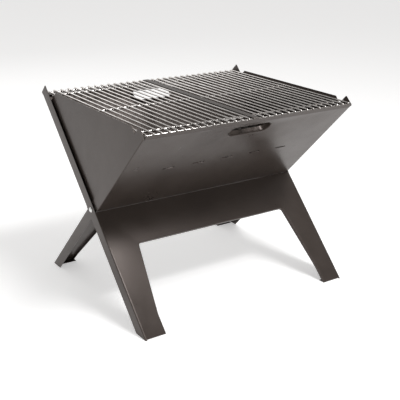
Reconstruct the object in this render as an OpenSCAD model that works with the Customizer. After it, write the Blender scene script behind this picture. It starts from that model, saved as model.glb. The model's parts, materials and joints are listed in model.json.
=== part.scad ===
// Folding camp grill: two crossing sheet-metal frames on a common pivot, with a lift-off cooking
// grate, two loose end plates, a charcoal grate and an ash tray standing in the V between the walls.
//
// Axes: +X along the pivot line, -Y towards the front, +Z up. The origin is on the ground, in the
// middle of the overall footprint.
//
// Each frame is drawn in its own arm coordinates: x along the pivot, s up the sloping arm from the
// pivot, p square to the arm and upwards. The outer frame leans back, the inner one leans forward.

/* [Overall] */
// Length of the outer frame along the pivot line
frame_length = 450; // [350:1:600]
// Thickness of all folded sheet
sheet = 1; // [0.8:0.1:2]
// Height of the pivot line above the ground
pivot_height = 175; // [140:1:220]
// Slope of the outer frame's side strips, degrees from level
outer_slope = 45.4; // [40:0.1:50]
// Slope of the inner frame's side strips, degrees from level
inner_slope = 46.6; // [40:0.1:50]
// Length of the outer frame's arms above the pivot
outer_top = 259.7; // [200:0.1:320]
// Length of the inner frame's arms above the pivot
inner_top = 252; // [200:0.1:320]

/* [Side strips] */
// Width of a side strip, square to its slope
strip_width = 22.6; // [16:0.1:30]
// How far each inner strip stands inside the outer one
strip_inset = 3.4; // [2.4:0.1:6]
// Extra room between an inner strip's edge and the outer frame's sheets when folded
strip_relief = 0.4; // [0.3:0.1:2]
// Gap left between the two frames' sheets along the crease
crease_gap = 0.22; // [0.15:0.01:0.6]

/* [Walls] */
// Height of both walls' folded top edge
wall_top = 348.3; // [300:0.1:420]
// Width of the fold along each wall's top edge
wall_fold = 10; // [6:0.5:14]
// Length of a hand hole
hand_hole_length = 88; // [70:1:120]
// Height of a hand hole, along the wall
hand_hole_height = 26; // [18:1:36]
// Distance of the hand holes' centre from the pivot, up the wall
hand_hole_up = 223; // [180:1:240]
// Number of air slots in the front wall
air_slots = 5; // [3:2:9]
// Spacing of the air slots
air_slot_pitch = 62.5; // [40:0.5:90]
// Length of an air slot
air_slot_length = 25; // [15:1:40]
// Height of an air slot
air_slot_height = 4; // [2:0.5:8]
// Distance of the air slots from the pivot, up the wall
air_slot_up = 133; // [90:1:180]

/* [Legs] */
// Width of a leg at the ground
leg_foot_width = 42; // [30:0.5:60]
// Width of a leg where it meets its crossbar
leg_top_width = 58; // [40:0.5:80]
// Distance below the pivot, down the slope, of the crossbar's lower edge
crossbar_down = 85; // [60:1:120]
// Distance below the pivot, down the slope, where the leg stops tapering
leg_taper_down = 218; // [150:1:240]
// Corner radius between a leg and its crossbar
leg_corner = 6; // [2:0.5:12]
// Depth of the folded edge round the leg opening
leg_fold = 6; // [3:0.5:10]
// Depth of the folded foot on the ground
foot_fold = 14; // [8:0.5:18]

/* [Pivots] */
// Radius of a pivot rivet's shank
rivet_radius = 3; // [2:0.1:5]
// Radial running clearance of the rivet in the inner frame
rivet_clearance = 0.05; // [0.02:0.01:0.1]
// Radius of a rivet's domed head
rivet_head_radius = 5; // [4:0.1:8]
// Height of a rivet's domed head
rivet_head_height = 2.6; // [1.5:0.1:4]
// Radius of the washers on the pivots
washer_radius = 7; // [5:0.1:10]

/* [End plates] */
// Height of an end plate's top edge
plate_top = 360; // [340:1:400]
// Distance of the top edge's front corner ahead of the pivot
plate_front = 140.6; // [100:0.1:170]
// Distance of the top edge's rear corner behind the pivot
plate_rear = 138.4; // [100:0.1:170]
// Height at which the cut corners meet the walls
plate_corner = 333; // [300:1:345]
// Height of an end plate's lower edge
plate_bottom = 187; // [182:1:200]
// Width of the folded edges along the slopes
plate_fold = 8; // [5:0.5:12]
// Gap between an end plate and the walls
plate_gap = 0.5; // [0.3:0.1:2]

/* [Cooking grate] */
// Diameter of the round bars
bar_diameter = 3; // [2:0.1:5]
// Diameter of the cross wires under the bars
wire_diameter = 4; // [3:0.1:6]
// Number of round bars on each side of the middle strip
bars_per_side = 15; // [8:1:20]
// Spacing of the bars
bar_pitch = 14.45; // [10:0.05:25]
// Width of the flat middle strip
middle_strip_width = 12; // [6:0.5:20]
// Thickness of the flat middle strip
middle_strip_thickness = 2; // [1:0.1:4]
// Length of the cross wires
wire_length = 437; // [300:0.5:590]
// Distance of an edge wire inside its wall's outer face
edge_wire_inset = 4.5; // [2:0.1:8]
// How far the bars pass beyond the edge wires
bar_overhang = 3.52; // [1:0.1:6]
// Length of the bars' bent-down tips
bar_tip = 3.5; // [1:0.1:5]
// Distance of a stop wire from its edge wire
stop_wire_inset = 25; // [10:0.5:40]
// Distance of the middle wire behind the grate's middle
middle_wire_offset = 3; // [-20:0.5:20]
// Gap between the grate's wires and the walls' top edges
rest_gap = 0.35; // [0.3:0.05:1]

/* [Charcoal grate] */
// Height of the charcoal grate's rails
coal_height = 250; // [220:1:300]
// Diameter of the rails
coal_rail_diameter = 5; // [3:0.5:8]
// Length of the rails
coal_rail_length = 412; // [300:1:420]
// Diameter of the charcoal grate's bars
coal_bar_diameter = 4; // [3:0.5:6]
// Number of charcoal grate bars
coal_bars = 21; // [9:2:31]
// Spacing of the charcoal grate bars
coal_bar_pitch = 19.5; // [12:0.5:40]

/* [Ash tray] */
// Height of the ash tray's underside
tray_bottom = 177.5; // [176:0.5:185]
// Height of the ash tray's rim
tray_top = 206; // [190:1:230]
// Length of the ash tray
tray_length = 410; // [300:1:420]
// Thickness of the ash tray's sheet
tray_sheet = 0.8; // [0.6:0.1:1.5]

/* [Hidden] */

steel = [0.33, 0.31, 0.30];
dark_steel = [0.16, 0.15, 0.15];
bright = [0.80, 0.80, 0.80];

half = strip_width / 2;
inner_half = half - sheet - strip_relief;
outer_x = frame_length / 2;
inner_x = outer_x - strip_inset;
plate_x = inner_x - sheet - strip_relief;

// Distance from the pivot to the crease, along either arm
crease = half * tan(90 - (outer_slope + inner_slope) / 2);

// The pivot line's place that centres the footprint on the origin
outer_foot = (pivot_height + half * cos(outer_slope)) / sin(outer_slope);
inner_foot = (pivot_height + half * cos(inner_slope)) / sin(inner_slope);
pivot_y = (outer_foot - outer_top) * cos(outer_slope) / 2;

// A point in the plane of Y and Z from arm coordinates
function outer_pt(s, p) = [
    pivot_y + s * cos(outer_slope) - p * sin(outer_slope),
    pivot_height + s * sin(outer_slope) + p * cos(outer_slope)];
function inner_pt(s, p) = [
    pivot_y - s * cos(inner_slope) + p * sin(inner_slope),
    pivot_height + s * sin(inner_slope) + p * cos(inner_slope)];

// The point at height z on the line that runs at offset p along an arm
function outer_at(z, p) = outer_pt((z - pivot_height - p * cos(outer_slope)) / sin(outer_slope), p);
function inner_at(z, p) = inner_pt((z - pivot_height - p * cos(inner_slope)) / sin(inner_slope), p);

outer_wall_s = (wall_top - pivot_height + half * cos(outer_slope)) / sin(outer_slope);
inner_wall_s = (wall_top - pivot_height + half * cos(inner_slope)) / sin(inner_slope);

wire_z = wall_top + rest_gap + wire_diameter / 2;
bar_z = wire_z + (wire_diameter + bar_diameter) / 2;
front_wire_y = inner_at(wall_top, -half)[0] + edge_wire_inset;
rear_wire_y = outer_at(wall_top, -half)[0] - edge_wire_inset;
bar_front_y = front_wire_y - bar_overhang;
bar_rear_y = rear_wire_y + bar_overhang;

coal_wall_p = -half + sheet + strip_relief + coal_rail_diameter / 2;
coal_front_y = inner_at(coal_height, coal_wall_p)[0];
coal_rear_y = outer_at(coal_height, coal_wall_p)[0];
coal_bar_z = coal_height + (coal_rail_diameter + coal_bar_diameter) / 2;

// How far a level fold starts inside the outer face of the sheet it is bent from
tuck = 1.2 * sheet;

eps = 0.01;
big = 2000;

// ---- placing ----

module outer_arm() {
    translate([0, pivot_y, pivot_height])
        rotate([outer_slope, 0, 0])
            children();
}

module inner_arm() {
    translate([0, pivot_y, pivot_height])
        mirror([0, 1, 0])
            rotate([inner_slope, 0, 0])
                children();
}

// A flat profile given in the plane of Y and Z, standing between two values of x
module slab_x(x0, x1) {
    translate([x0, 0, 0])
        rotate([90, 0, 90])
            linear_extrude(x1 - x0)
                children();
}

module above(z) {
    translate([-big / 2, -big / 2, z])
        cube([big, big, big]);
}

module below(z) {
    translate([-big / 2, -big / 2, z - big])
        cube([big, big, big]);
}

module rod_x(y, z, d, length) {
    translate([-length / 2, y, z])
        rotate([0, 90, 0])
            cylinder(d = d, h = length, $fn = 24);
}

// ---- sheets ----

module stadium(length, height) {
    r = height / 2;
    square([length - height, height], center = true);
    for (side = [-1, 1])
        translate([side * (length / 2 - r), 0])
            circle(r = r, $fn = 40);
}

// Flat pattern of a wall, in x and s
module wall_pattern(width, top, slots) {
    difference() {
        translate([-width / 2, crease + crease_gap])
            square([width, top - crease - crease_gap]);
        translate([0, hand_hole_up])
            stadium(hand_hole_length, hand_hole_height);
        if (slots > 0)
            for (i = [0 : slots - 1])
                translate([(i - (slots - 1) / 2) * air_slot_pitch, air_slot_up])
                    stadium(air_slot_length, air_slot_height);
    }
}

// The opening between two legs, in x and s, grown by e all round
module leg_opening(half_width, e) {
    k = (leg_top_width - leg_foot_width) / (leg_taper_down - crossbar_down);
    n = sqrt(1 + k * k);
    r = leg_corner;
    cx = half_width - leg_top_width + k * r - r * n;
    cy = -crossbar_down - r;
    top = half_width - leg_top_width + e * (n - k);
    edge = -crossbar_down + e;
    foot = half_width - leg_foot_width + e;
    kink = -leg_taper_down + e * k / (n + 1);
    difference() {
        polygon([
            [-top, edge],
            [top, edge],
            [foot, kink],
            [foot, -big / 4],
            [-foot, -big / 4],
            [-foot, kink]]);
        for (side = [-1, 1])
            difference() {
                polygon([
                    [side * cx, cy],
                    [side * cx, edge + 2],
                    [side * (top + 4), edge + 2],
                    [side * (cx + (r + e + 4) / n), cy + (r + e + 4) * k / n]]);
                translate([side * cx, cy])
                    circle(r = r + e, $fn = 48);
            }
    }
}

// Flat pattern of a crossbar with its two legs, in x and s
module leg_pattern(half_width) {
    difference() {
        translate([-half_width, -big / 4])
            square([2 * half_width, big / 4 - crease - crease_gap]);
        leg_opening(half_width, 0);
    }
}

// The narrow band folded back round the leg opening
module leg_fold_pattern(half_width) {
    intersection() {
        difference() {
            leg_opening(half_width, sheet);
            leg_opening(half_width, 0);
        }
        translate([-big / 2, -big])
            square([big, big - crease]);
    }
}

module wall_sheet(width, top, slots) {
    translate([0, 0, -half])
        linear_extrude(sheet)
            wall_pattern(width, top, slots);
}

module leg_sheet(half_width) {
    translate([0, 0, half - sheet])
        linear_extrude(sheet)
            leg_pattern(half_width);
}

module leg_hem(half_width) {
    translate([0, 0, half - leg_fold])
        linear_extrude(leg_fold - sheet)
            leg_fold_pattern(half_width);
}

// ---- outer frame ----

module rear_wall_panel() {
    y = outer_at(wall_top, -half)[0];
    color(steel) {
        intersection() {
            outer_arm()
                wall_sheet(frame_length, outer_wall_s + 10, 0);
            below(wall_top);
        }
        translate([-plate_x + sheet, y - wall_fold, wall_top - sheet])
            cube([2 * (plate_x - sheet), wall_fold - tuck, sheet]);
    }
}

module front_leg_panel() {
    color(steel)
        intersection() {
            outer_arm()
                leg_sheet(outer_x);
            above(0);
        }
}

// The leg sheet's edge, folded back round the opening
module front_leg_hem() {
    color(steel)
        intersection() {
            outer_arm()
                leg_hem(outer_x);
            above(0);
        }
}

// The leg sheet's lower ends, folded level on the ground
module front_feet() {
    y = outer_at(0, half)[0] + foot_fold;
    color(steel)
        for (x = [-outer_x + sheet, outer_x - leg_foot_width + sheet])
            slab_x(x, x + leg_foot_width - 2 * sheet)
                polygon([
                    outer_at(0, half - sheet),
                    [y, 0],
                    [y, sheet],
                    outer_at(sheet, half - sheet)]);
}

// Side view of an outer strip, in s and p
module outer_strip_pattern() {
    polygon([
        [-outer_foot - 60, -half],
        [crease + crease_gap, -half],
        [crease + crease_gap, -half + sheet],
        [outer_wall_s + eps, -half + sheet],
        [outer_wall_s + eps, -half],
        [outer_top, -half],
        [outer_top, half],
        [-crease - crease_gap, half],
        [-crease - crease_gap, half - sheet],
        [-outer_foot - 60, half - sheet]]);
}

module outer_strip(side) {
    x0 = side > 0 ? outer_x - sheet : -outer_x;
    color(steel)
        difference() {
            intersection() {
                outer_arm()
                    slab_x(x0, x0 + sheet)
                        outer_strip_pattern();
                above(0);
            }
            rod_x(pivot_y, pivot_height, 2 * rivet_radius, 2 * outer_x + 10);
        }
}

module left_outer_strip() {
    outer_strip(-1);
}

module right_outer_strip() {
    outer_strip(1);
}

// ---- inner frame ----

module front_wall_panel() {
    y = inner_at(wall_top, -half)[0];
    color(steel) {
        intersection() {
            inner_arm()
                wall_sheet(2 * inner_x, inner_wall_s + 10, air_slots);
            below(wall_top);
        }
        translate([-plate_x + sheet, y + tuck, wall_top - sheet])
            cube([2 * (plate_x - sheet), wall_fold - tuck, sheet]);
    }
}

module rear_leg_panel() {
    color(steel)
        intersection() {
            inner_arm()
                leg_sheet(inner_x);
            above(0);
        }
}

module rear_leg_hem() {
    color(steel)
        intersection() {
            inner_arm()
                leg_hem(inner_x);
            above(0);
        }
}

module rear_feet() {
    y = inner_at(0, half)[0] - foot_fold;
    color(steel)
        for (x = [-inner_x + sheet, inner_x - leg_foot_width + sheet])
            slab_x(x, x + leg_foot_width - 2 * sheet)
                polygon([
                    inner_at(0, half - sheet),
                    [y, 0],
                    [y, sheet],
                    inner_at(sheet, half - sheet)]);
}

// Side view of an inner strip, in s and p; its free edges stand back to clear the outer sheets
module inner_strip_pattern() {
    c = crease + crease_gap;
    polygon([
        [-inner_foot - 60, -inner_half],
        [c, -inner_half],
        [c, -half + sheet],
        [inner_wall_s + eps, -half + sheet],
        [inner_wall_s + eps, -half],
        [inner_top, -half],
        [inner_top, inner_half],
        [-c, inner_half],
        [-c, half - sheet],
        [-inner_foot - 60, half - sheet]]);
}

module inner_strip(side) {
    x0 = side > 0 ? inner_x - sheet : -inner_x;
    color(steel)
        difference() {
            intersection() {
                inner_arm()
                    slab_x(x0, x0 + sheet)
                        inner_strip_pattern();
                above(0);
            }
            rod_x(pivot_y, pivot_height, 2 * (rivet_radius + rivet_clearance), 2 * outer_x + 10);
        }
}

module left_inner_strip() {
    inner_strip(-1);
}

module right_inner_strip() {
    inner_strip(1);
}

// ---- pivots ----

// Turns what is drawn along +Z, from the pivot line outwards, into place on one side
module pivot_axis(side) {
    translate([0, pivot_y, pivot_height])
        rotate([0, side * 90, 0])
            children();
}

module pivot_rivet(side) {
    h = rivet_head_height;
    r = rivet_head_radius;
    ball = (r * r + h * h) / (2 * h);
    color(bright)
        pivot_axis(side) {
            translate([0, 0, plate_x - 2 * sheet])
                cylinder(r = rivet_radius, h = outer_x - plate_x + 2 * sheet, $fn = 24);
            intersection() {
                translate([0, 0, outer_x + h - ball])
                    sphere(r = ball, $fn = 48);
                translate([0, 0, outer_x])
                    cylinder(r = r, h = h, $fn = 48);
            }
        }
}

module pivot_spacer(side) {
    color(bright)
        pivot_axis(side)
            translate([0, 0, inner_x + strip_relief])
                difference() {
                    cylinder(r = washer_radius, h = outer_x - sheet - inner_x - strip_relief, $fn = 48);
                    translate([0, 0, -1])
                        cylinder(r = rivet_radius, h = 10, $fn = 24);
                }
}

module pivot_cap(side) {
    color(bright)
        pivot_axis(side)
            difference() {
                union() {
                    translate([0, 0, plate_x - sheet])
                        cylinder(r = washer_radius, h = sheet, $fn = 48);
                    translate([0, 0, plate_x - 2.2 * sheet])
                        cylinder(r = rivet_radius + 1.6, h = 1.3 * sheet, $fn = 48);
                }
                translate([0, 0, plate_x - 2 * sheet])
                    cylinder(r = rivet_radius, h = 10, $fn = 24);
            }
}

module left_pivot_rivet() {
    pivot_rivet(-1);
}

module right_pivot_rivet() {
    pivot_rivet(1);
}

module left_pivot_spacer() {
    pivot_spacer(-1);
}

module right_pivot_spacer() {
    pivot_spacer(1);
}

module left_pivot_cap() {
    pivot_cap(-1);
}

module right_pivot_cap() {
    pivot_cap(1);
}

// ---- end plates ----

module end_plate(side) {
    p = -half + sheet + plate_gap;
    x0 = side > 0 ? plate_x - sheet : -plate_x;
    f0 = side > 0 ? plate_x - sheet - plate_fold : -plate_x + sheet - eps;
    color(steel) {
        slab_x(x0, x0 + sheet)
            polygon([
                inner_at(plate_bottom, p),
                outer_at(plate_bottom, p),
                outer_at(plate_corner, p),
                [pivot_y + plate_rear, plate_top],
                [pivot_y - plate_front, plate_top],
                inner_at(plate_corner, p)]);
        slab_x(f0, f0 + plate_fold + eps)
            polygon([
                outer_at(plate_bottom, p),
                outer_at(plate_corner - 4, p),
                outer_at(plate_corner - 4, p + sheet),
                outer_at(plate_bottom, p + sheet)]);
        slab_x(f0, f0 + plate_fold + eps)
            polygon([
                inner_at(plate_bottom, p),
                inner_at(plate_corner - 4, p),
                inner_at(plate_corner - 4, p + sheet),
                inner_at(plate_bottom, p + sheet)]);
    }
}

module left_end_plate() {
    end_plate(-1);
}

module right_end_plate() {
    end_plate(1);
}

// ---- cooking grate ----

// One round bar along the grate
module grate_bar(x) {
    r = bar_diameter / 2;
    translate([x, bar_front_y, bar_z])
        rotate([-90, 0, 0])
            cylinder(r = r, h = bar_rear_y - bar_front_y, $fn = 16);
    for (y = [bar_front_y, bar_rear_y])
        translate([x, y, bar_z])
            sphere(r = r, $fn = 16);
}

module grate_bars() {
    color(bright)
        for (side = [-1, 1])
            for (i = [1 : bars_per_side])
                grate_bar(side * i * bar_pitch);
}

// The bars' ends, bent down over the edge wires
module grate_bar_tips() {
    r = bar_diameter / 2;
    color(bright)
        for (side = [-1, 1])
            for (i = [1 : bars_per_side])
                for (y = [bar_front_y, bar_rear_y])
                    translate([side * i * bar_pitch, y, bar_z - bar_tip])
                        cylinder(r = r, h = bar_tip - 1.01 * r, $fn = 16);
}

module grate_middle_strip() {
    color(bright)
        translate([-middle_strip_width / 2, bar_front_y - 1, wire_z + wire_diameter / 2])
            cube([middle_strip_width, bar_rear_y - bar_front_y + 2, middle_strip_thickness]);
}

module grate_wire(y) {
    color(bright)
        rod_x(y, wire_z, wire_diameter, wire_length);
}

module grate_front_edge_wire() {
    grate_wire(front_wire_y);
}

module grate_rear_edge_wire() {
    grate_wire(rear_wire_y);
}

module grate_front_stop_wire() {
    grate_wire(front_wire_y + stop_wire_inset);
}

module grate_rear_stop_wire() {
    grate_wire(rear_wire_y - stop_wire_inset);
}

module grate_middle_wire() {
    grate_wire((front_wire_y + rear_wire_y) / 2 + middle_wire_offset);
}

// ---- charcoal grate ----

module coal_grate_bars() {
    color(dark_steel)
        for (i = [0 : coal_bars - 1])
            translate([(i - (coal_bars - 1) / 2) * coal_bar_pitch, coal_front_y, coal_bar_z])
                rotate([-90, 0, 0])
                    cylinder(d = coal_bar_diameter, h = coal_rear_y - coal_front_y, $fn = 16);
}

module coal_grate_front_rail() {
    color(dark_steel)
        rod_x(coal_front_y, coal_height, coal_rail_diameter, coal_rail_length);
}

module coal_grate_rear_rail() {
    color(dark_steel)
        rod_x(coal_rear_y, coal_height, coal_rail_diameter, coal_rail_length);
}

// ---- ash tray ----

module ash_tray() {
    p = -half + sheet + strip_relief;
    q = p + tray_sheet;
    color(dark_steel)
        difference() {
            slab_x(-tray_length / 2, tray_length / 2)
                polygon([
                    inner_at(tray_bottom, p),
                    outer_at(tray_bottom, p),
                    outer_at(tray_top, p),
                    inner_at(tray_top, p)]);
            slab_x(-tray_length / 2 + tray_sheet, tray_length / 2 - tray_sheet)
                polygon([
                    inner_at(tray_bottom + tray_sheet, q),
                    outer_at(tray_bottom + tray_sheet, q),
                    outer_at(tray_top + 1, q),
                    inner_at(tray_top + 1, q)]);
        }
}

rear_wall_panel();
front_leg_panel();
front_leg_hem();
front_feet();
left_outer_strip();
right_outer_strip();
front_wall_panel();
rear_leg_panel();
rear_leg_hem();
rear_feet();
left_inner_strip();
right_inner_strip();
left_pivot_rivet();
right_pivot_rivet();
left_pivot_spacer();
right_pivot_spacer();
left_pivot_cap();
right_pivot_cap();
left_end_plate();
right_end_plate();
grate_bars();
grate_bar_tips();
grate_middle_strip();
grate_front_edge_wire();
grate_rear_edge_wire();
grate_front_stop_wire();
grate_rear_stop_wire();
grate_middle_wire();
coal_grate_bars();
coal_grate_front_rail();
coal_grate_rear_rail();
ash_tray();
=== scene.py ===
"""Looks for the folding camp grill: folded sheets, wire grate, materials, light and camera.

Lengths are millimetres in the shape code and are turned into metres where a point is placed.
Arm coordinates follow each frame: x along the pivot, s up the sloping arm from the pivot, and
p square to the arm and upwards. The outer frame leans back and the inner one leans forward.
"""

import json
import math

import bmesh
import bpy
from mathutils import Matrix, Vector
from mathutils.geometry import delaunay_2d_cdt


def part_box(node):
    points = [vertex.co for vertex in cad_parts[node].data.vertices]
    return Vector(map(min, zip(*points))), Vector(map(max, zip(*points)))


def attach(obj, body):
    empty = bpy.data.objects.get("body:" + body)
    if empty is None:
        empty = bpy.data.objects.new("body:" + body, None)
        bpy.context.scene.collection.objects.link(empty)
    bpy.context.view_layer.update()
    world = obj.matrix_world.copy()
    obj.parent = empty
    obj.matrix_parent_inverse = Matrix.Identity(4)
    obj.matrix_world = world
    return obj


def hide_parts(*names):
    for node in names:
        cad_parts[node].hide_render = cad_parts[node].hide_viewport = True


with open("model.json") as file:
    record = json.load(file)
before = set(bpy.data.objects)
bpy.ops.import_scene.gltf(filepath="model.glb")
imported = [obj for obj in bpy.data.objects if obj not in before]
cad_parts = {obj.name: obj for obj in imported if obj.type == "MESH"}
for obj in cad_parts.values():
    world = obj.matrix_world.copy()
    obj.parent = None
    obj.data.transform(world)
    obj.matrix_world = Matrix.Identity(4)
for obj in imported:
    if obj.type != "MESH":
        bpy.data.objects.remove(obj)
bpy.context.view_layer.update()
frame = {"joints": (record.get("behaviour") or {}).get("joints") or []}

# ---- sizes, in millimetres ----

MM = 0.001
SHEET = 1.0
OUTER_SLOPE = math.radians(45.4)
INNER_SLOPE = math.radians(46.6)
OUTER_TOP = 259.7
INNER_TOP = 252.0
STRIP_WIDTH = 22.6
STRIP_RELIEF = 0.4
CREASE_GAP = 0.22
BEND = 1.6
SEAM = 2.0
WALL_TOP = 348.3
WALL_FOLD = 10.0
HAND_HOLE_LENGTH = 88.0
HAND_HOLE_HEIGHT = 26.0
HAND_HOLE_UP = 223.0
HAND_HOLE_LIP = 9.0
AIR_SLOTS = 5
AIR_SLOT_PITCH = 62.5
AIR_SLOT_LENGTH = 25.0
AIR_SLOT_HEIGHT = 4.0
AIR_SLOT_UP = 133.0
LEG_FOOT_WIDTH = 42.0
LEG_TOP_WIDTH = 58.0
CROSSBAR_DOWN = 85.0
LEG_TAPER_DOWN = 218.0
LEG_CORNER = 6.0
LEG_FOLD = 6.0
FOOT_FOLD = 14.0
TAB_CORNER = 1.2
TAB_STEP = 0.4
CUT_EDGE = 0.22
BAR_DIAMETER = 3.0
BAR_PITCH = 14.45
BARS_PER_SIDE = 15
BAR_TIP = 3.5
BAR_BEND = 2.6
MIDDLE_BAR_BEND = 2.4
MIDDLE_BAR_TIP = 1.0
MIDDLE_BAR_EDGE = 0.5
WELD_SIZE = (1.2, 1.0, 0.6)
WELD_SINK = 0.1
COAL_BARS = 21
COAL_BAR_PITCH = 19.5
COAL_WELD_SIZE = (2.3, 1.6, 1.1)
COAL_WELD_RISE = 0.2
TRAY_SHEET = 0.8
TRAY_CORNER = 2.2

# Edges sharper than this are rounded, or are shaded as edges
SHARP = math.radians(50)

HALF = STRIP_WIDTH / 2
INNER_HALF = HALF - SHEET - STRIP_RELIEF
pivot = Vector(next(j for j in frame["joints"] if j["name"] == "frame_fold")["pos_m"]) / MM
CREASE = HALF * math.tan(math.pi / 2 - (OUTER_SLOPE + INNER_SLOPE) / 2) + CREASE_GAP


class Arm:
    """One frame's sloping arms: slope, which way it leans, and half its length along the pivot."""

    def __init__(self, body, slope, lean, half_length, top):
        self.body = body
        self.slope = slope
        self.lean = lean
        self.half_length = half_length
        self.top = top

    def point(self, x, s, p):
        c, n = math.cos(self.slope), math.sin(self.slope)
        y = pivot.y + self.lean * (s * c - p * n)
        return Vector((x, y, pivot.z + s * n + p * c)) * MM

    def s_at(self, z, p):
        """How far up the arm the line at offset p reaches height z."""
        return (z - pivot.z - p * math.cos(self.slope)) / math.sin(self.slope)


OUTER = Arm("outer_frame", OUTER_SLOPE, 1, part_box("right_outer_strip")[1].x / MM, OUTER_TOP)
INNER = Arm("inner_frame", INNER_SLOPE, -1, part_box("right_inner_strip")[1].x / MM, INNER_TOP)


# ---- materials ----


class Nodes:
    """Short calls for building a node material."""

    def __init__(self, name):
        self.material = bpy.data.materials.new(name)
        self.material.use_nodes = True
        self.tree = self.material.node_tree
        self.tree.nodes.clear()
        self.output = self.add("ShaderNodeOutputMaterial")
        self.shader = self.add("ShaderNodeBsdfPrincipled")
        self.link(self.shader, "BSDF", self.output, "Surface")
        self.place = self.add("ShaderNodeTexCoord")

    def add(self, kind, **values):
        n = self.tree.nodes.new(kind)
        for key, value in values.items():
            n.inputs[key.replace("_", " ")].default_value = value
        return n

    def link(self, a, out, b, into):
        self.tree.links.new(a.outputs[out], b.inputs[into])

    def stretched(self, scale):
        m = self.add("ShaderNodeMapping", Scale=scale)
        self.link(self.place, "Object", m, "Vector")
        return m

    def noise(self, scale, detail=3.0, rough=0.5, stretch=(1, 1, 1), kind="ShaderNodeTexNoise"):
        n = self.add(kind, Scale=scale, Detail=detail, Roughness=rough)
        self.link(self.stretched(stretch), "Vector", n, "Vector")
        return n

    def spread(self, source, out, low, high, to_low, to_high):
        """Maps a noise's useful range to another."""
        n = self.add("ShaderNodeMapRange")
        n.inputs["From Min"].default_value = low
        n.inputs["From Max"].default_value = high
        n.inputs["To Min"].default_value = to_low
        n.inputs["To Max"].default_value = to_high
        self.link(source, out, n, "Value")
        return n

    def ramp(self, source, out, stops):
        n = self.add("ShaderNodeValToRGB")
        while len(n.color_ramp.elements) < len(stops):
            n.color_ramp.elements.new(0.5)
        for element, (at, colour) in zip(n.color_ramp.elements, stops):
            element.position = at
            element.color = (*colour, 1)
        self.link(source, out, n, "Fac")
        return n

    def bump(self, source, out, strength, distance, below=None):
        n = self.add("ShaderNodeBump", Strength=strength, Distance=distance)
        self.link(source, out, n, "Height")
        if below is not None:
            self.link(below, "Normal", n, "Normal")
        return n

    def value(self, key, value):
        self.shader.inputs[key].default_value = value


def painted_steel():
    """Satin anthracite powder coat: fine orange peel over a sheet that isn't quite flat."""
    m = Nodes("painted_steel")
    tone = m.noise(9.0, detail=4.0, rough=0.6)
    base = m.ramp(tone, "Fac", [
        (0.30, (0.026, 0.020, 0.017)),
        (0.55, (0.032, 0.025, 0.021)),
        (0.75, (0.039, 0.031, 0.027))])
    m.link(base, "Color", m.shader, "Base Color")
    patches = m.noise(28.0, detail=5.0, rough=0.6)
    gloss = m.spread(patches, "Fac", 0.3, 0.7, 0.27, 0.35)
    m.link(gloss, "Result", m.shader, "Roughness")
    waves = m.noise(11.0, detail=1.0)
    wavy = m.bump(waves, "Fac", 0.10, 0.004)
    peel = m.noise(620.0, detail=2.0)
    m.link(m.bump(peel, "Fac", 0.16, 0.0006, wavy), "Normal", m.shader, "Normal")
    m.value("Specular IOR Level", 0.5)
    m.value("Specular Tint", (1.0, 0.87, 0.82, 1))
    return m.material


def plated_wire():
    """Bright plating over drawn wire: faint lines along it and a slightly warm, cloudy tone."""
    m = Nodes("plated_wire")
    clouds = m.noise(60.0, detail=4.0, rough=0.6)
    base = m.ramp(clouds, "Fac", [
        (0.30, (0.50, 0.475, 0.455)),
        (0.55, (0.60, 0.575, 0.555)),
        (0.75, (0.68, 0.66, 0.64))])
    m.link(base, "Color", m.shader, "Base Color")
    m.value("Metallic", 1.0)
    spots = m.noise(240.0, detail=3.0)
    gloss = m.spread(spots, "Fac", 0.3, 0.7, 0.18, 0.34)
    m.link(gloss, "Result", m.shader, "Roughness")
    lines = m.noise(900.0, detail=2.0, stretch=(1, 0.04, 1))
    m.link(m.bump(lines, "Fac", 0.10, 0.0003), "Normal", m.shader, "Normal")
    return m.material


def dull_plate():
    """The same plating on a flat bar, darker and greyer than the wire, rougher and streaked along
    its length.
    """
    m = Nodes("dull_plate")
    streaks = m.noise(90.0, detail=5.0, rough=0.65, stretch=(1, 0.12, 1))
    base = m.ramp(streaks, "Fac", [
        (0.30, (0.085, 0.076, 0.070)),
        (0.55, (0.125, 0.113, 0.106)),
        (0.75, (0.180, 0.165, 0.156))])
    m.link(base, "Color", m.shader, "Base Color")
    m.value("Metallic", 0.75)
    dull = m.spread(streaks, "Fac", 0.3, 0.7, 0.42, 0.60)
    m.link(dull, "Result", m.shader, "Roughness")
    grain = m.noise(700.0, detail=2.0, stretch=(1, 0.05, 1))
    m.link(m.bump(grain, "Fac", 0.12, 0.0003), "Normal", m.shader, "Normal")
    return m.material


def zinc_steel():
    """Zinc-plated steel: crystalline patches, softly brushed."""
    m = Nodes("zinc_steel")
    cells = m.add("ShaderNodeTexVoronoi", Scale=420.0)
    m.link(m.place, "Object", cells, "Vector")
    base = m.ramp(cells, "Distance", [
        (0.10, (0.60, 0.60, 0.59)),
        (0.50, (0.72, 0.72, 0.71)),
        (0.90, (0.80, 0.80, 0.79))])
    m.link(base, "Color", m.shader, "Base Color")
    m.value("Metallic", 1.0)
    spots = m.noise(300.0, detail=3.0)
    gloss = m.spread(spots, "Fac", 0.3, 0.7, 0.22, 0.38)
    m.link(gloss, "Result", m.shader, "Roughness")
    m.link(m.bump(spots, "Fac", 0.10, 0.0003), "Normal", m.shader, "Normal")
    return m.material


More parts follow.
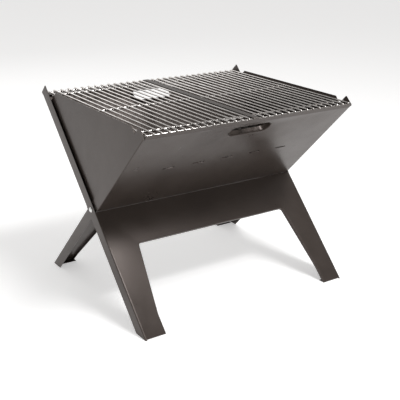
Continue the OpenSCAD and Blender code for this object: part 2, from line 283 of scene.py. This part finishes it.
def black_steel():
    """Matt near-black steel in brown-grey patches with a dry grain; its near-black, brown-tinged
    tone is painted shade, copied from the dark inside of the firebox.
    """
    m = Nodes("black_steel")
    brown_patches = m.noise(14.0, detail=6.0, rough=0.65)
    # Painted shade: these near-black, brown-tinged colours stand in for the shade inside the
    # firebox
    base = m.ramp(brown_patches, "Fac", [
        (0.35, (0.016, 0.015, 0.014)),
        (0.55, (0.026, 0.023, 0.021)),
        (0.75, (0.044, 0.036, 0.031))])
    m.link(base, "Color", m.shader, "Base Color")
    grain = m.noise(420.0, detail=4.0, rough=0.6)
    dry = m.spread(grain, "Fac", 0.3, 0.7, 0.58, 0.78)
    m.link(dry, "Result", m.shader, "Roughness")
    m.link(m.bump(grain, "Fac", 0.25, 0.0004), "Normal", m.shader, "Normal")
    return m.material


def floor_paper():
    """Matt white studio paper."""
    m = Nodes("studio_paper")
    tooth = m.noise(180.0, detail=4.0)
    base = m.ramp(tooth, "Fac", [
        (0.3, (0.885, 0.885, 0.885)),
        (0.7, (0.905, 0.905, 0.905))])
    m.link(base, "Color", m.shader, "Base Color")
    m.value("Roughness", 0.95)
    m.value("Specular IOR Level", 0.1)
    m.value("Emission Color", (1, 1, 1, 1))
    m.value("Emission Strength", 0.42)
    return m.material


PAINT = painted_steel()
PLATED = plated_wire()
DULL = dull_plate()
ZINC = zinc_steel()
BLACK = black_steel()


# ---- making pieces ----


def finish_piece(name, bm, material, body, replaces=()):
    """Turns a bmesh into a smooth-shaded piece that rides on its body."""
    mesh = bpy.data.meshes.new(name)
    bm.to_mesh(mesh)
    bm.free()
    for face in mesh.polygons:
        face.use_smooth = True
    mesh.materials.append(material)
    piece = bpy.data.objects.new(name, mesh)
    bpy.context.scene.collection.objects.link(piece)
    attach(piece, body)
    if replaces:
        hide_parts(*replaces)
    return piece


def arc(centre, radius, start, end, steps):
    """Points on an arc, with angles in degrees."""
    turn = [math.radians(start + (end - start) * i / steps) for i in range(steps + 1)]
    return [(centre[0] + radius * math.cos(t), centre[1] + radius * math.sin(t)) for t in turn]


def stadium(centre, length, height, grow, steps=12):
    """A slot's outline, grown all round."""
    r = height / 2
    x = length / 2 - r
    right = arc((centre[0] + x, centre[1]), r + grow, -90, 90, steps)
    left = arc((centre[0] - x, centre[1]), r + grow, 90, 270, steps)
    return right + left


def join(bm, before, ring):
    """Faces between two rings of vertices."""
    for k in range(len(ring)):
        j = (k + 1) % len(ring)
        bm.faces.new([before[k], before[j], ring[j], ring[k]])


class Sheet:
    """A folded sheet, drawn as its outer face and given its thickness at the end.

    place(a, b, d) turns the flat pattern's a and b, and a depth d behind the outer face,
    into a point in metres.
    """

    def __init__(self, place):
        self.place = place
        self.bm = bmesh.new()

    def vertex(self, a, b, d=0.0):
        return self.bm.verts.new(self.place(a, b, d))

    def flat(self, outline, holes=()):
        """Fills the outline less its holes. Returns the vertices of each loop."""
        loops = [outline, *holes]
        points = [Vector(q) for loop in loops for q in loop]
        edges = []
        start = 0
        for loop in loops:
            n = len(loop)
            edges += [(start + i, start + (i + 1) % n) for i in range(n)]
            start += n
        made, _, faces, _, _, _ = delaunay_2d_cdt(points, edges, [], 1, 1e-5)
        verts = [self.vertex(q.x, q.y) for q in made]
        for face in faces:
            middle = sum((made[i] for i in face), Vector((0, 0))) / len(face)
            if not any(inside(middle, hole) for hole in holes):
                self.bm.faces.new([verts[i] for i in face])
        rings = []
        start = 0
        for loop in loops:
            rings.append(verts[start:start + len(loop)])
            start += len(loop)
        return rings

    def fold(self, edge, ring, radius, angle, flange, closed=False, steps=6):
        """Bends the sheet back along a chain of vertices.

        ring(a) gives the chain's points moved a beyond the fold line, in the flat pattern.
        """
        turns = [angle * (i + 1) / steps for i in range(steps)]
        rows = [(radius * math.sin(t), radius * (1 - math.cos(t))) for t in turns]
        ahead, depth = rows[-1]
        if flange > 0:
            rows.append((ahead + flange * math.cos(angle), depth + flange * math.sin(angle)))
        before = edge
        for ahead, depth in rows:
            row = [self.vertex(a, b, depth) for a, b in ring(ahead)]
            last = len(row) if closed else len(row) - 1
            for i in range(last):
                j = (i + 1) % len(row)
                self.bm.faces.new([before[i], before[j], row[j], row[i]])
            before = row

    def piece(self, name, body, replaces):
        """Faces outwards, thickens inwards and rounds the cut edges."""
        bmesh.ops.recalc_face_normals(self.bm, faces=self.bm.faces)
        self.bm.normal_update()
        here = self.place(0, 0, 0)
        outwards = self.place(0, 0, -1) - here
        widest = max(self.bm.faces, key=lambda f: f.calc_area())
        if widest.normal.dot(outwards) < 0:
            bmesh.ops.reverse_faces(self.bm, faces=self.bm.faces)
        made = finish_piece(name, self.bm, PAINT, body, replaces)
        solid = made.modifiers.new("thickness", "SOLIDIFY")
        solid.thickness = SHEET * MM
        solid.offset = -1
        solid.use_even_offset = True
        edge = made.modifiers.new("edges", "BEVEL")
        edge.width = CUT_EDGE * MM
        edge.segments = 2
        edge.limit_method = "ANGLE"
        edge.angle_limit = SHARP
        edge.harden_normals = True
        return made


def inside(q, loop):
    """True if the point lies inside the closed loop."""
    hit = False
    for (ax, ay), (bx, by) in zip(loop, loop[1:] + loop[:1]):
        if (ay > q.y) != (by > q.y) and q.x < ax + (q.y - ay) / (by - ay) * (bx - ax):
            hit = not hit
    return hit


# ---- the frames' folded sheets ----


def wall(arm, name, node, slots):
    """A sloping wall with its hand hole, air slots and folded top edge."""
    sheet = Sheet(lambda x, s, d: arm.point(x, s, -HALF + d))
    side = arm.half_length - BEND - SEAM
    fold_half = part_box(node)[1].x / MM
    fold_half = min(fold_half, INNER.half_length - SHEET - STRIP_RELIEF - SHEET)
    bend_s = arm.s_at(WALL_TOP - BEND, -HALF + BEND)
    raw_s = arm.s_at(WALL_TOP, -HALF + SHEET)
    foldline = [(fold_half, bend_s), (-fold_half, bend_s)]
    outline = [
        (-side, CREASE), (side, CREASE), (side, raw_s), (fold_half, raw_s),
        *foldline, (-fold_half, raw_s), (-side, raw_s)]
    hole = (0.0, HAND_HOLE_UP)
    holes = [stadium(hole, HAND_HOLE_LENGTH, HAND_HOLE_HEIGHT, BEND)]
    for i in range(slots):
        x = (i - (slots - 1) / 2) * AIR_SLOT_PITCH
        holes.append(stadium((x, AIR_SLOT_UP), AIR_SLOT_LENGTH, AIR_SLOT_HEIGHT, 0.0, steps=8))
    rings = sheet.flat(outline, holes)
    top = arm.point(0, bend_s, -HALF + BEND).y / MM
    outer_y = arm.point(0, arm.s_at(WALL_TOP, -HALF), -HALF).y / MM
    flange = WALL_FOLD - abs(outer_y - top)
    top_fold, hole_edge = rings[0][4:6], rings[1]
    sheet.fold(top_fold, lambda a: [(fold_half, bend_s + a), (-fold_half, bend_s + a)],
               BEND, math.pi - arm.slope, flange)
    sheet.fold(hole_edge, lambda a: stadium(hole, HAND_HOLE_LENGTH, HAND_HOLE_HEIGHT, BEND - a),
               BEND, math.pi / 2, HAND_HOLE_LIP, closed=True)
    return sheet.piece(name, arm.body, (node,))


def leg_opening(arm, grow):
    """The opening's edge from the left foot, over the top and down to the right foot."""
    top = arm.half_length - LEG_TOP_WIDTH + grow
    foot = arm.half_length - LEG_FOOT_WIDTH + grow
    edge = -CROSSBAR_DOWN + grow
    ground = arm.s_at(BEND, HALF - BEND)
    r = LEG_CORNER
    corner = arc((top - r, edge - r), r, 90, 12, 8)
    right = [*corner, (foot, -LEG_TAPER_DOWN), (foot, ground)]
    left = [(-x, s) for x, s in reversed(right)]
    return left + right


def legs(arm, name, *nodes):
    """A crossbar with two tapered legs, folded round the opening and under the feet."""
    sheet = Sheet(lambda x, s, d: arm.point(x, s, HALF - d))
    side = arm.half_length - BEND - SEAM
    ground = arm.s_at(BEND, HALF - BEND)
    opening = leg_opening(arm, BEND)
    outline = [(-side, -CREASE), (-side, ground), *opening, (side, ground), (side, -CREASE)]
    ring = sheet.flat(outline)[0]
    first = 2
    last = first + len(opening)
    sheet.fold(ring[first:last], lambda a: leg_opening(arm, BEND - a),
               BEND, math.pi / 2, LEG_FOLD - BEND)
    reach = FOOT_FOLD - BEND
    # The feet's folds end just short of the fold round the opening
    inner = opening[-1][0] - BEND * 0.9
    sheet.fold(ring[1:3], lambda a: [(-side, ground - a), (-inner, ground - a)],
               BEND, math.pi - arm.slope, reach)
    sheet.fold(ring[last - 1:last + 1], lambda a: [(inner, ground - a), (side, ground - a)],
               BEND, math.pi - arm.slope, reach)
    piece = sheet.piece(name, arm.body, nodes)
    # The lower corners of the fold round the opening end level with the floor
    for vertex in piece.data.vertices:
        vertex.co.z = max(vertex.co.z, 0.0)
    return piece


def strip(arm, side, name, node, free):
    """A side strip, with seams folded in along the wall at its lower edge and the legs above."""
    sheet = Sheet(lambda s, p, d: arm.point(side * (arm.half_length - d), s, p))
    low, high = -free, free
    wall_s = arm.s_at(WALL_TOP, -HALF + BEND)
    foot_low = arm.s_at(0, low)
    bend_low, bend_high = -HALF + BEND, HALF - BEND
    outline = [
        (foot_low, low), (CREASE, low), (CREASE, bend_low), (wall_s, bend_low),
        (wall_s + TAB_STEP, -HALF), (arm.top - TAB_CORNER, -HALF), (arm.top, -HALF + TAB_CORNER),
        (arm.top, high - TAB_CORNER), (arm.top - TAB_CORNER, high), (-CREASE, high),
        (-CREASE, bend_high), (arm.s_at(0, bend_high), bend_high)]
    ring = sheet.flat(outline)[0]
    wall_fold, leg_fold = ring[2:4], ring[10:12]
    sheet.fold(wall_fold, lambda a: [(CREASE, bend_low - a), (wall_s, bend_low - a)],
               BEND, math.pi / 2, SEAM)
    sheet.fold(leg_fold,
               lambda a: [(-CREASE, bend_high + a), (arm.s_at(0, bend_high + a), bend_high + a)],
               BEND, math.pi / 2, SEAM)
    return sheet.piece(name, arm.body, (node,))


wall(OUTER, "rear_wall", "rear_wall_panel", 0)
wall(INNER, "front_wall", "front_wall_panel", AIR_SLOTS)
legs(OUTER, "front_legs", "front_leg_panel", "front_leg_hem", "front_feet")
legs(INNER, "rear_legs", "rear_leg_panel", "rear_leg_hem", "rear_feet")
strip(OUTER, -1, "left_outer_side", "left_outer_strip", HALF)
strip(OUTER, 1, "right_outer_side", "right_outer_strip", HALF)
strip(INNER, -1, "left_inner_side", "left_inner_strip", INNER_HALF)
strip(INNER, 1, "right_inner_side", "right_inner_strip", INNER_HALF)


# ---- end plates ----

PLATE_BOTTOM = 187.0
PLATE_CORNER = 333.0
PLATE_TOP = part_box("left_end_plate")[1].z / MM
PLATE_GAP = 0.5
PLATE_FRONT = 140.6
PLATE_REAR = 138.4
PLATE_FOLD = 8.0
PLATE_FOLD_STOP = 4


def end_plate(side, name, node):
    """A plate that closes one end, its two sloping edges folded inwards along the walls."""
    outer_x = max(abs(v.x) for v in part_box(node)) / MM
    sheet = Sheet(lambda y, z, d: Vector((side * (outer_x - d), y, z)) * MM)
    p = -HALF + SHEET + PLATE_GAP

    def on_wall(arm, z, inset):
        q = arm.point(0, arm.s_at(z, p + inset), p + inset) / MM
        return q.y, q.z

    fold_end = PLATE_CORNER - PLATE_FOLD_STOP
    corners = [
        on_wall(INNER, PLATE_BOTTOM, BEND), on_wall(OUTER, PLATE_BOTTOM, BEND),
        on_wall(OUTER, fold_end, BEND), on_wall(OUTER, fold_end, 0),
        on_wall(OUTER, PLATE_CORNER, 0), (pivot.y + PLATE_REAR, PLATE_TOP),
        (pivot.y - PLATE_FRONT, PLATE_TOP), on_wall(INNER, PLATE_CORNER, 0),
        on_wall(INNER, fold_end, 0), on_wall(INNER, fold_end, BEND)]
    ring = sheet.flat(corners)[0]
    for edge, arm, ends in ((ring[1:3], OUTER, (PLATE_BOTTOM, fold_end)),
                            ([ring[9], ring[0]], INNER, (fold_end, PLATE_BOTTOM))):
        sheet.fold(edge, lambda a, arm=arm, ends=ends: [on_wall(arm, z, BEND - a) for z in ends],
                   BEND, math.pi / 2, PLATE_FOLD - BEND)
    return sheet.piece(name, "left_plate" if side < 0 else "right_plate", (node,))


end_plate(-1, "left_end", "left_end_plate")
end_plate(1, "right_end", "right_end_plate")


# ---- pivots ----


TURNED_SIDES = 48


def turned(name, node, side, profile):
    """A turned part on the pivot line. The profile holds distances out along X and radii."""
    bm = bmesh.new()
    before = None
    for out, r in profile:
        ring = []
        for k in range(TURNED_SIDES):
            t = 2 * math.pi * k / TURNED_SIDES
            at = Vector((side * out, pivot.y + r * math.cos(t), pivot.z + r * math.sin(t)))
            ring.append(bm.verts.new(at * MM))
        if before is None:
            first = ring
        else:
            join(bm, before, ring)
        before = ring
    if profile[0] != profile[-1]:
        bm.faces.new(first)
        bm.faces.new(before)
    else:
        bmesh.ops.remove_doubles(bm, verts=bm.verts, dist=1e-7)
    bmesh.ops.recalc_face_normals(bm, faces=bm.faces)
    made = finish_piece(name, bm, ZINC, "outer_frame", (node,))
    made.data.set_sharp_from_angle(angle=math.radians(40))
    return made


RIVET_RADIUS = 3.0
RIVET_HEAD_RADIUS = 5.0
RIVET_HEAD_RIM = 0.25
RIVET_CHAMFER = 0.3
BORE_GAP = 0.02
CHAMFER = 0.15
PLATE_X = INNER.half_length - SHEET - STRIP_RELIEF


def pivot_parts(side, word):
    """The rivet with its domed head, the washer between the strips and the crimped cap inside."""
    outer = OUTER.half_length
    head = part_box("right_pivot_rivet")[1].x / MM
    r, rim = RIVET_HEAD_RADIUS, RIVET_HEAD_RIM
    rise = head - outer
    dome = [(outer, r - rim), (outer + rim, r)]
    dome += [(outer + rim + (rise - rim) * math.sin(t), r * math.cos(t))
             for t in (math.radians(7.5 * i) for i in range(1, 12))]
    dome.append((head, 0.35))
    inner_end = PLATE_X - 2 * SHEET
    shank = [(inner_end, RIVET_RADIUS - RIVET_CHAMFER),
             (inner_end + RIVET_CHAMFER, RIVET_RADIUS), (outer, RIVET_RADIUS)]
    turned(f"{word}_rivet", f"{word}_pivot_rivet", side, shank + dome)
    washer = max(abs(v.z - pivot.z * MM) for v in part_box("right_pivot_spacer")) / MM
    low = INNER.half_length + STRIP_RELIEF
    high = outer - SHEET
    bore = RIVET_RADIUS + BORE_GAP
    edge = CHAMFER
    ring = [(low, bore), (low, washer - edge), (low + edge, washer),
            (high - edge, washer), (high, washer - edge), (high, bore)]
    turned(f"{word}_washer", f"{word}_pivot_spacer", side, ring + ring[:1])
    low = PLATE_X - 2.2 * SHEET
    step = PLATE_X - SHEET
    hub = RIVET_RADIUS + 1.6
    cap = [(low, RIVET_RADIUS + 0.3), (low, hub - 0.4), (low + 0.4, hub), (step - 0.1, hub),
           (step, hub + 0.3), (step, washer - edge), (step + edge, washer),
           (PLATE_X - edge, washer), (PLATE_X, washer - edge), (PLATE_X, bore)]
    turned(f"{word}_cap", f"{word}_pivot_cap", side, cap + cap[:1])


pivot_parts(-1, "left")
pivot_parts(1, "right")


# ---- cooking grate ----


def tube(bm, path, radius, sides=14):
    """A round wire with rounded ends, along a path in the plane of Y and Z or along X."""
    steps = []
    for i, q in enumerate(path):
        along = path[min(i + 1, len(path) - 1)] - path[max(i - 1, 0)]
        steps.append((q, along.normalized()))
    first, last = steps[0], steps[-1]
    round_end = [(0.0, 0.62), (0.30, 0.88), (0.62, 1.0)]
    rings = []
    for back, size in round_end:
        rings.append((first[0] + first[1] * back * radius, first[1], size * radius))
    for q, along in steps[1:-1]:
        rings.append((q, along, radius))
    for back, size in reversed(round_end):
        rings.append((last[0] - last[1] * back * radius, last[1], size * radius))
    across = Vector((1, 0, 0)) if abs(first[1].x) < 0.9 else Vector((0, 1, 0))
    before = None
    for q, along, r in rings:
        up = along.cross(across).normalized()
        ring = []
        for k in range(sides):
            t = 2 * math.pi * k / sides
            ring.append(bm.verts.new((q + (across * math.cos(t) + up * math.sin(t)) * r) * MM))
        if before is None:
            bm.faces.new(list(reversed(ring)))
        else:
            join(bm, before, ring)
        before = ring
    bm.faces.new(before)


def wire_piece(name, bm, replaces, material=PLATED, body="cooking_grate", slot="plated_wire"):
    bmesh.ops.recalc_face_normals(bm, faces=bm.faces)
    made = finish_piece(name, bm, material, body, replaces)
    made.data.set_sharp_from_angle(angle=SHARP)
    return made


def bead(bm, x, y, z, size, sides, rows):
    """A flattened bead of weld metal."""
    at = Matrix.Translation(Vector((x, y, z)) * MM)
    scale = Matrix.Diagonal((*(length * MM for length in size), 1))
    bmesh.ops.create_uvsphere(
        bm, u_segments=sides, v_segments=rows, radius=1, matrix=at @ scale)


def quarter(y, z, radius, start, points):
    """A quarter turn about (y, z), going down from start degrees, as pairs of Y and Z."""
    turns = [math.radians(start - 90 / (points - 1) * i) for i in range(points)]
    return [(y + radius * math.cos(t), z + radius * math.sin(t)) for t in turns]


bars_low, bars_high = (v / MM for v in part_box("grate_bars"))
bar_r = BAR_DIAMETER / 2
bar_z = bars_high.z - bar_r


def bar_path(x):
    """Along the grate, with both ends turned down over the edge wires."""
    front = bars_low.y + bar_r
    rear = bars_high.y - bar_r
    tip = bar_z - BAR_TIP
    side_view = [
        (front, tip),
        *quarter(front + BAR_BEND, bar_z - BAR_BEND, BAR_BEND, 180, 6),
        *quarter(rear - BAR_BEND, bar_z - BAR_BEND, BAR_BEND, 90, 6),
        (rear, tip)]
    return [Vector((x, y, z)) for y, z in side_view]


def grate_bars():
    bm = bmesh.new()
    for side in (-1, 1):
        for i in range(1, BARS_PER_SIDE + 1):
            tube(bm, bar_path(side * i * BAR_PITCH), bar_r)
    wire_piece("cooking_bars", bm, ("grate_bars", "grate_bar_tips"))


WIRES = {
    "front_edge_wire": "grate_front_edge_wire",
    "rear_edge_wire": "grate_rear_edge_wire",
    "front_stop_wire": "grate_front_stop_wire",
    "rear_stop_wire": "grate_rear_stop_wire",
    "middle_wire": "grate_middle_wire",
}


def cross_wires():
    for name, node in WIRES.items():
        low, high = (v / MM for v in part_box(node))
        centre = (low + high) / 2
        bm = bmesh.new()
        path = [Vector((low.x + (high.x - low.x) * t, centre.y, centre.z))
                for t in (0, 0.3, 0.7, 1)]
        tube(bm, path, (high.z - low.z) / 2, sides=18)
        wire_piece(name, bm, (node,))


def welds():
    """A small squeezed-out bead on both sides of a bar, wherever it crosses a wire."""
    bm = bmesh.new()
    for node in WIRES.values():
        low, high = (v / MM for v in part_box(node))
        y = (low.y + high.y) / 2
        for side in (-1, 1):
            for i in range(1, BARS_PER_SIDE + 1):
                bead(bm, side * i * BAR_PITCH, y, high.z - WELD_SINK, WELD_SIZE, 10, 6)
    wire_piece("grate_welds", bm, ())


def middle_strip():
    """A flat bar with rounded edges and turned-down ends."""
    low, high = (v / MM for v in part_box("grate_middle_strip"))
    thick = high.z - low.z
    bend = MIDDLE_BAR_BEND
    front, rear, level = low.y + thick / 2, high.y - thick / 2, high.z - thick / 2
    tip = low.z - MIDDLE_BAR_TIP
    path = [
        (front, tip),
        *quarter(front + bend, level - bend, bend, 180, 5),
        *quarter(rear - bend, level - bend, bend, 90, 5),
        (rear, tip)]
    bm = bmesh.new()
    before = None
    for i, (y, z) in enumerate(path):
        a, b = path[max(i - 1, 0)], path[min(i + 1, len(path) - 1)]
        along = Vector((0, b[0] - a[0], b[1] - a[1])).normalized()
        up = Vector((0, -along.z, along.y))
        ring = []
        for x, n in ((low.x, -1), (low.x, 1), (high.x, 1), (high.x, -1)):
            ring.append(bm.verts.new((Vector((x, y, z)) + up * n * thick / 2) * MM))
        if before is None:
            bm.faces.new(ring)
        else:
            join(bm, before, ring)
        before = ring
    bm.faces.new(before)
    made = wire_piece("middle_bar", bm, ("grate_middle_strip",), DULL)
    edge = made.modifiers.new("edges", "BEVEL")
    edge.width = MIDDLE_BAR_EDGE * MM
    edge.segments = 3
    edge.limit_method = "ANGLE"
    edge.angle_limit = SHARP


grate_bars()
cross_wires()
welds()
middle_strip()


# ---- charcoal grate and ash tray ----


# The material, body and slot of the charcoal grate's pieces
COAL = (BLACK, "charcoal_grate", "black_steel")
COAL_STEPS = 12


def coal_grate():
    """Round bars welded across two rails."""
    for name in ("coal_grate_front_rail", "coal_grate_rear_rail"):
        low, high = (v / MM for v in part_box(name))
        centre = (low + high) / 2
        bm = bmesh.new()
        path = [Vector((low.x + (high.x - low.x) * i / COAL_STEPS, centre.y, centre.z))
                for i in range(COAL_STEPS + 1)]
        tube(bm, path, (high.z - low.z) / 2, sides=18)
        wire_piece(name.replace("coal_grate", "coal"), bm, (name,), *COAL)
    low, high = (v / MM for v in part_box("coal_grate_bars"))
    r = (high.z - low.z) / 2
    bars = bmesh.new()
    joints = bmesh.new()
    for i in range(COAL_BARS):
        x = (i - (COAL_BARS - 1) / 2) * COAL_BAR_PITCH
        path = [Vector((x, low.y + (high.y - low.y) * k / COAL_STEPS, low.z + r))
                for k in range(COAL_STEPS + 1)]
        tube(bars, path, r)
        for y in (low.y, high.y):
            bead(joints, x, y, low.z + COAL_WELD_RISE, COAL_WELD_SIZE, 12, 8)
    wire_piece("coal_bars", bars, ("coal_grate_bars",), *COAL)
    wire_piece("coal_welds", joints, (), *COAL)


def ash_tray():
    """A shallow pressed tray with rounded corners and a rounded bottom edge."""
    low, high = (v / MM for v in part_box("ash_tray"))
    p = -HALF + SHEET + STRIP_RELIEF
    bm = bmesh.new()
    before = None
    r = TRAY_CORNER
    # Height and inset of each row, from the bottom up
    rows = (
        (low.z, 3.0), (low.z + 0.9, 0.9), (low.z + 3.0, 0.0), (high.z - 2.0, 0.0), (high.z, 0.0))
    for z, inset in rows:
        x = high.x - inset
        front = INNER.point(0, INNER.s_at(z, p), p).y / MM + inset
        rear = OUTER.point(0, OUTER.s_at(z, p), p).y / MM - inset
        ring = []
        for cx, cy, start in ((x - r, rear - r, 0), (-x + r, rear - r, 90),
                              (-x + r, front + r, 180), (x - r, front + r, 270)):
            for a, b in arc((cx, cy), r, start, start + 90, 6):
                ring.append(bm.verts.new(Vector((a, b, z)) * MM))
        if before is None:
            bm.faces.new(list(reversed(ring)))
        else:
            join(bm, before, ring)
        before = ring
    bmesh.ops.recalc_face_normals(bm, faces=bm.faces)
    made = finish_piece("tray", bm, BLACK, "ash_tray", ("ash_tray",))
    made.data.set_sharp_from_angle(angle=math.radians(60))
    solid = made.modifiers.new("thickness", "SOLIDIFY")
    solid.thickness = TRAY_SHEET * MM
    solid.offset = -1
    solid.use_even_offset = True


coal_grate()
ash_tray()


# ---- floor, light and camera ----

FLOOR_SIZE = 14.0

# How high each shade of the surround lies, from 0 at the horizon to 1 overhead, and its colour
HORIZON = (0.05, (1.0, 0.99, 0.98, 1))
OVERHEAD = (0.85, (0.20, 0.195, 0.19, 1))

CAMERA_AZIMUTH = math.radians(-35.10)
CAMERA_ELEVATION = math.radians(20.20)
CAMERA_ROLL = math.radians(1.19)
CAMERA_DISTANCE = 1.5207
CAMERA_LENS = 70.07
CAMERA_TARGET = Vector((0.0092, -0.00565, 0.1498))


def make_floor():
    bpy.ops.mesh.primitive_plane_add(size=FLOOR_SIZE, location=(0, 0, 0))
    floor = bpy.context.active_object
    floor.name = "floor"
    floor.data.materials.append(floor_paper())


def soft_light(name, place, aim, width, height, power):
    data = bpy.data.lights.new(name, "AREA")
    data.shape = "RECTANGLE"
    data.size = width
    data.size_y = height
    data.energy = power
    lamp = bpy.data.objects.new(name, data)
    lamp.location = place
    lamp.rotation_euler = (Vector(aim) - Vector(place)).to_track_quat("-Z", "Y").to_euler()
    bpy.context.scene.collection.objects.link(lamp)


def make_world():
    """An even white surround that is dimmer overhead."""
    world = bpy.data.worlds.new("studio")
    world.use_nodes = True
    tree = world.node_tree
    back = tree.nodes["Background"]
    back.inputs["Strength"].default_value = 1.0
    place = tree.nodes.new("ShaderNodeTexCoord")
    height = tree.nodes.new("ShaderNodeSeparateXYZ")
    shade = tree.nodes.new("ShaderNodeValToRGB")
    for element, (at, colour) in zip(shade.color_ramp.elements, (HORIZON, OVERHEAD)):
        element.position = at
        element.color = colour
    tree.links.new(place.outputs["Generated"], height.inputs["Vector"])
    tree.links.new(height.outputs["Z"], shade.inputs["Fac"])
    tree.links.new(shade.outputs["Color"], back.inputs["Color"])
    bpy.context.scene.world = world
    bpy.context.scene.view_settings.view_transform = "Standard"


def make_camera():
    """Looks from the left and above, at the angle, distance and lens set above."""
    back = Vector((
        math.sin(CAMERA_AZIMUTH) * math.cos(CAMERA_ELEVATION),
        -math.cos(CAMERA_AZIMUTH) * math.cos(CAMERA_ELEVATION),
        math.sin(CAMERA_ELEVATION)))
    right = (-back).cross(Vector((0, 0, 1))).normalized()
    up = right.cross(-back)
    x_axis = right * math.cos(CAMERA_ROLL) + up * math.sin(CAMERA_ROLL)
    y_axis = up * math.cos(CAMERA_ROLL) - right * math.sin(CAMERA_ROLL)
    data = bpy.data.cameras.new("camera")
    data.lens = CAMERA_LENS
    data.sensor_width = 36
    data.clip_start = 0.05
    data.clip_end = 50
    camera = bpy.data.objects.new("camera", data)
    turn = Matrix((x_axis, y_axis, back)).transposed().to_4x4()
    camera.matrix_world = Matrix.Translation(CAMERA_TARGET + back * CAMERA_DISTANCE) @ turn
    bpy.context.scene.collection.objects.link(camera)
    bpy.context.scene.camera = camera


make_floor()
make_world()
soft_light("high_front", (0.40, -0.97, 2.00), (-0.1, 0, 0.15), 0.80, 0.60, 32)
soft_light("low_back", (-0.1, 1.9, 1.30), (0, 0, 0.34), 1.6, 0.8, 5)
make_camera()
